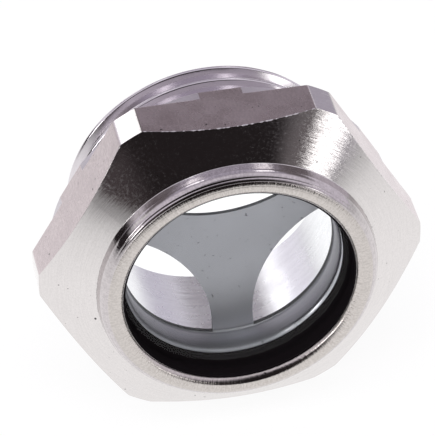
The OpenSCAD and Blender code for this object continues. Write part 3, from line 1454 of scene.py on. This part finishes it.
@dataclass
class PhotoCamera:
    """Camera at the photograph's viewing angle, found by fitting edges and circles of the part.

    Args:
        azimuth_deg: Turn round the part, 0 looks along +Y.
        elevation_deg: Height above the horizon.
        roll_deg: Turn about the line of sight.
        distance: Distance from the middle of the hexagon's back face.
        focal_px: Focal length in pixels of the frame.
        middle_px: Where the middle of the hexagon's back face falls in the frame.
        frame_px: Size of the frame.
        sensor: Width of the sensor.
        middle_a: Height of the hexagon's back face.
        clip_m: Nearest and farthest distance that it sees.
    """

    azimuth_deg: float = -11.2755
    elevation_deg: float = 39.0481
    roll_deg: float = -0.7919
    distance: float = 444.5
    focal_px: float = 3860.4
    middle_px: tuple[float, float] = (223.14, 234.48)
    frame_px: tuple[int, int] = (435, 436)
    sensor: float = 36.0
    middle_a: float = 1.2
    clip_m: Span = (0.01, 20.0)

    def build(self) -> bpy.types.Object:
        """Makes the camera and gives it to the scene.

        Returns:
            The camera.
        """
        az, el, roll = (math.radians(v) for v in (self.azimuth_deg, self.elevation_deg, self.roll_deg))
        ahead = Vector((-math.sin(az) * math.cos(el), math.cos(az) * math.cos(el), -math.sin(el)))
        level = ahead.cross(Vector((0, 0, 1))).normalized()
        upright = level.cross(ahead)
        right = level * math.cos(roll) + upright * math.sin(roll)
        up = upright * math.cos(roll) - level * math.sin(roll)
        per_px = self.distance / self.focal_px
        off_x = (self.middle_px[0] - self.frame_px[0] / 2) * per_px
        off_y = (self.frame_px[1] / 2 - self.middle_px[1]) * per_px
        place = Vector((0, -self.middle_a, 0)) - ahead * self.distance - right * off_x - up * off_y
        data = bpy.data.cameras.new("photo_camera")
        data.sensor_width = self.sensor
        data.lens = self.sensor * self.focal_px / max(self.frame_px)
        data.clip_start, data.clip_end = self.clip_m
        camera = bpy.data.objects.new("photo_camera", data)
        turn = Matrix((right, up, -ahead)).transposed().to_4x4()
        camera.matrix_world = Matrix.Translation(place * MM) @ turn
        bpy.context.scene.collection.objects.link(camera)
        bpy.context.scene.camera = camera
        return camera


@dataclass(frozen=True)
class Softbox:
    """Square or strip of soft light that faces the part.

    Args:
        name: Name of the lamp.
        azimuth_deg: Side that it stands on, 0 in front of the window, 90 on the right.
        elevation_deg: Height above the horizon.
        distance_m: Distance from the part.
        size_m: Width and height.
        watts: Power.
        in_metal: Whether it shows in shiny surfaces, or only lights dull ones.
    """

    name: str
    azimuth_deg: float
    elevation_deg: float
    distance_m: float
    size_m: tuple[float, float]
    watts: float
    in_metal: bool = True

    def build(self) -> bpy.types.Object:
        """Makes the area lamp.

        Returns:
            The lamp.
        """
        az, el = math.radians(self.azimuth_deg), math.radians(self.elevation_deg)
        way = Vector((math.sin(az) * math.cos(el), -math.cos(az) * math.cos(el), math.sin(el)))
        data = bpy.data.lights.new(self.name, "AREA")
        data.shape = "RECTANGLE"
        data.size, data.size_y = self.size_m
        data.energy = self.watts
        lamp = bpy.data.objects.new(self.name, data)
        lamp.location = way * self.distance_m
        lamp.visible_glossy = self.in_metal
        lamp.rotation_mode = "QUATERNION"
        lamp.rotation_quaternion = (-way).to_track_quat("-Z", "Y")
        bpy.context.scene.collection.objects.link(lamp)
        return lamp


@dataclass(frozen=True)
class RoomShade:
    """One shade of the room, laid over those before it where all its limits hold.

    Args:
        what: What it stands for.
        colour: Colour of that part of the room, sRGB hex.
        limits: Directions, each with the reach along it at which the shade starts to show and is full.
    """

    what: str
    colour: str
    limits: tuple[tuple[tuple[float, float, float], float, float], ...]


@dataclass
class Studio:
    """Pale table, soft lamps and a room that is pale behind the part and dark in front of it.

    Args:
        floor_a: Height of the table top.
        half_m: Half the width of the table top.
        card: Colour of the table top, sRGB hex.
        glow: Brightness of the table top to the eye.
        glow_share: Share of that brightness in what is seen. The rest is the lit card, with the shadow.
        near_m: Distances from the part between which the table's brightness in the metal falls.
        near_glow: That brightness near the part and far from it.
        ahead: Direction towards the front left, in which it falls once more.
        ahead_m: Where that fall starts and ends.
        ahead_glow: Share of the brightness that is left there.
        dark: Colour of the room where no shade lies, sRGB hex.
        lamps: Lamps round the part.
        shades: Shades of the room, first to last.
    """

    floor_a: float
    half_m: float = 4.0
    card: str = "#F2F2F2"
    glow: float = 1.03
    glow_share: float = 0.88
    near_m: Span = (0.05, 0.35)
    near_glow: Span = (1.15, 0.70)
    ahead: tuple[float, float, float] = (-0.4, -0.92, 0.0)
    ahead_m: Span = (0.04, 0.50)
    ahead_glow: float = 0.42
    dark: str = "#262223"
    lamps: tuple[Softbox, ...] = (
        Softbox("right_softbox", 42.7, 7.2, 1.0, (0.21, 0.19), 0.27),
        Softbox("rear_left_softbox", -149.0, 27.0, 1.0, (0.25, 0.3), 0.30),
        Softbox("left_softbox", -60.0, 12.0, 1.0, (0.22, 0.22), 0.75),
        Softbox("rear_left_panel", -136.3, 61.3, 1.0, (0.17, 0.22), 0.19),
        Softbox("rear_right_panel", 124.5, 58.6, 1.0, (0.17, 0.22), 0.19),
        Softbox("fill_softbox", -25.0, 60.0, 1.3, (1.0, 1.0), 10.0, False),
    )
    shades: tuple[RoomShade, ...] = (
        RoomShade("pale behind and right", "#EFEAF4", (((0.40, 1, 0), -0.70, -0.05),)),
        RoomShade("pale behind and left", "#EFEAF4", (((-0.60, 1, 0), -0.26, -0.14),)),
        RoomShade("grey front left", "#4A4345", (((1, 0, 0), -0.36, -0.52), ((0, 1, 0), -0.55, -0.75))),
        RoomShade("grey round the right lamp", "#726C6E", (((0.58, -0.79, 0.15), 0.962, 0.989),)),
        RoomShade("white window on the left", "#FFFFFF", (((-0.88, 0.10, 0.42), 0.93, 0.985),)),
        RoomShade("grey low left", "#6E6869", (((1, 0, 0), -0.35, -0.50), ((0, 0, 1), 0.03, 0.0))),
        RoomShade("dark low far left", "#2C2729", (((1, 0, 0), -0.78, -0.88), ((0, 0, 1), 0.34, 0.20))),
        RoomShade("grey rear right", "#B9B3C1", (((0.62, 0.76, 0.18), 0.965, 0.99),)),
        RoomShade("grey high behind", "#7E777B", (((0, 1, 0), 0.0, 0.25), ((0, 0, 1), 0.40, 0.52))),
        RoomShade("paler overhead", "#C2BCCB", (((0, 1, 0), 0.0, 0.25), ((0, 0, 1), 0.68, 0.80))),
    )

    def build(self) -> None:
        """Makes the floor, the lamps and the room."""
        self._floor()
        for lamp in self.lamps:
            lamp.build()
        self._room()

    def _floor(self) -> None:
        """Makes the table top as one flat cell, white to the eye, with the part's shadow kept in it."""
        square = np.array([[-1, -1], [-1, 1], [1, 1], [1, -1]]) * self.half_m / MM
        points = np.column_stack([square, np.full(4, self.floor_a)])
        floor = welded_mesh("table_top", points, np.array([[0, 3, 2, 1]]))
        material, tree = new_material("white_card_matt")
        path, seen = seen_by_eye(tree)
        at = node(tree, "TexCoord").outputs["Object"]
        away = node(tree, "VectorMath", {0: at}, operation="LENGTH").outputs["Value"]
        near = node(tree, "MapRange", {0: away, 1: self.near_m[0], 2: self.near_m[1],
                                       3: self.near_glow[0], 4: self.near_glow[1]})
        along = node(tree, "VectorMath", {0: at, 1: self.ahead}, operation="DOT_PRODUCT").outputs["Value"]
        fall = node(tree, "MapRange", {0: along, 1: self.ahead_m[0], 2: self.ahead_m[1],
                                       3: 1.0, 4: self.ahead_glow})
        table = node(tree, "Math", {0: near, 1: fall}, operation="MULTIPLY")
        in_metal = node(tree, "Math", {0: table, 1: path["Is Glossy Ray"]}, operation="MULTIPLY")
        shine = node(tree, "Math", {0: in_metal, 1: seen}, operation="MAXIMUM")
        light = node(tree, "Emission", {"Color": (self.glow, self.glow, self.glow, 1), "Strength": shine})
        card = node(tree, "BsdfDiffuse", {"Color": linear(self.card)})
        shown = node(tree, "Math", {0: seen, 1: path["Is Glossy Ray"]}, operation="MAXIMUM")
        share = node(tree, "Math", {0: shown, 1: self.glow_share}, operation="MULTIPLY")
        both = node(tree, "MixShader", {0: share, 1: card, 2: light})
        node(tree, "OutputMaterial", {"Surface": both})
        floor.data.materials.append(material)

    def _room(self) -> None:
        """Makes the room by direction, white to the eye: each shade is mixed over those before it."""
        world = bpy.data.worlds.new("studio_room")
        world.use_nodes = True
        bpy.context.scene.world = world
        tree = world.node_tree
        tree.nodes.clear()
        way = node(tree, "TexCoord").outputs["Generated"]
        room = linear(self.dark)
        for shade in self.shades:
            share = 1.0
            for direction, start, end in shade.limits:
                along = node(tree, "VectorMath", {0: way, 1: direction}, operation="DOT_PRODUCT")
                step = node(tree, "MapRange", {0: along.outputs["Value"], 1: start, 2: end},
                            interpolation_type="SMOOTHSTEP")
                share = node(tree, "Math", {0: step, 1: share}, operation="MULTIPLY")
            mixed = node(tree, "Mix", {0: share, 6: room, 7: linear(shade.colour)}, data_type="RGBA",
                         label=shade.what)
            room = mixed.outputs[2]
        _, seen = seen_by_eye(tree)
        shown = node(tree, "Mix", {0: seen, 6: room, 7: (1, 1, 1, 1)}, data_type="RGBA").outputs[2]
        sky = node(tree, "Background", {"Color": shown, "Strength": 1.0})
        node(tree, "OutputWorld", {"Surface": sky})


def main() -> None:
    """Builds the part and the studio in order."""
    logging.basicConfig(level=logging.INFO, format="%(name)s: %(message)s")
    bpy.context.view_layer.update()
    bpy.context.scene.view_settings.view_transform = "Standard"
    body = HexBody.from_frame()
    for maker in (body, Seal.from_frame(), GlassDisc.from_frame(), ReflectorCup.from_frame()):
        piece = maker.build()
        LOG.info("%s: %d faces", piece.name, len(piece.data.polygons))
    PhotoCamera().build()
    Studio(float(body.low[2])).build()


if __name__ == "__main__":
    main()
